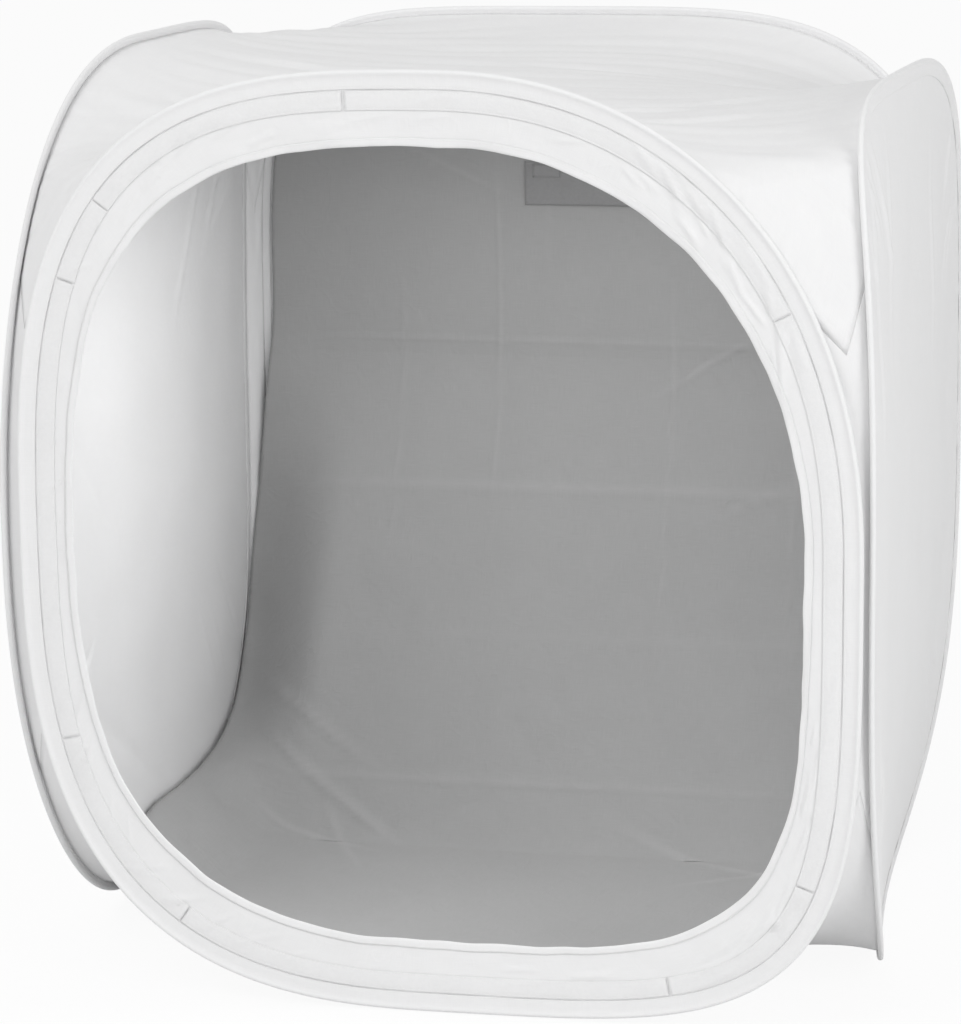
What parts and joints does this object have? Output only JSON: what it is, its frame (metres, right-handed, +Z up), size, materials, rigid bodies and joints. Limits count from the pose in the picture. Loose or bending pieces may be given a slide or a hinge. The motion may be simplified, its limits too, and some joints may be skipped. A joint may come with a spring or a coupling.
{
  "type": "light tent cube",
  "caption": "Pop-up photographic light tent: sprung white cloth sides, an open front ring and a grey sweep backdrop inside, folding flat along its corner seams.",
  "frame": {"origin": "centre of the square plan, on the ground plane under the floor cloth", "axes": "+Z up, the open ring faces -Y, +X to the right when looking in through the ring"},
  "size_m": [0.9398, 0.925, 1],
  "materials": {
    "white_cloth": "matt translucent nylon",
    "white_tape": "looped fastening tape",
    "grey_cloth": "matt brushed cloth",
    "grey_tape": "hooked fastening tape",
    "spring_steel": "drawn spring wire"
  },
  "bodies": {
    "back": {"back_loop_wire": "spring_steel", "back_wire_ferrule": "spring_steel", "back_edge_sleeve": "white_cloth", "back_panel": "white_cloth", "top_panel": "white_cloth", "floor_panel": "white_cloth", "right_back_corner_web": "white_cloth", "back_left_corner_web": "white_cloth", "backdrop_hook_strip": "white_tape", "backdrop_loop_strip": "grey_tape", "backdrop_sheet": "grey_cloth", "backdrop_patch": "grey_tape", "backdrop_tab": "grey_tape"},
    "left": {"left_loop_wire": "spring_steel", "left_wire_ferrule": "spring_steel", "left_edge_sleeve": "white_cloth", "left_panel": "white_cloth"},
    "right": {"right_loop_wire": "spring_steel", "right_wire_ferrule": "spring_steel", "right_edge_sleeve": "white_cloth", "right_panel": "white_cloth"},
    "front": {"front_loop_wire": "spring_steel", "front_wire_ferrule": "spring_steel", "front_edge_sleeve": "white_cloth", "front_band": "white_cloth", "opening_hem": "white_cloth", "cover_tape_1": "white_tape", "cover_tape_2": "white_tape", "cover_tape_3": "white_tape", "cover_tape_4": "white_tape", "cover_tape_5": "white_tape", "cover_tape_6": "white_tape", "cover_tape_7": "white_tape", "cover_tape_8": "white_tape", "left_front_corner_web": "white_cloth", "front_right_corner_web": "white_cloth"}
  },
  "joints": [
    {"name": "left_fold", "type": "hinge", "parent": "back", "child": "left", "pos_m": [-0.4503, 0.4503, 0.5], "axis": [0, 0, 1], "range_deg": [0, 80], "stiffness_Nm_per_rad": 2, "deforming": ["top_panel", "floor_panel", "backdrop_sheet", "back_left_corner_web"]},
    {"name": "right_fold", "type": "hinge", "parent": "back", "child": "right", "pos_m": [0.4503, 0.4503, 0.5], "axis": [0, 0, 1], "range_deg": [0, 80], "deforming": ["right_back_corner_web"]},
    {"name": "front_fold", "type": "hinge", "parent": "left", "child": "front", "pos_m": [-0.4503, -0.4503, 0.5], "axis": [0, 0, 1], "range_deg": [-80, 0], "deforming": ["left_front_corner_web", "front_right_corner_web"]}
  ],
  "couplings": [
    {"joint": "right_fold", "follows": "left_fold", "ratio": 1},
    {"joint": "front_fold", "follows": "left_fold", "ratio": -1}
  ]
}
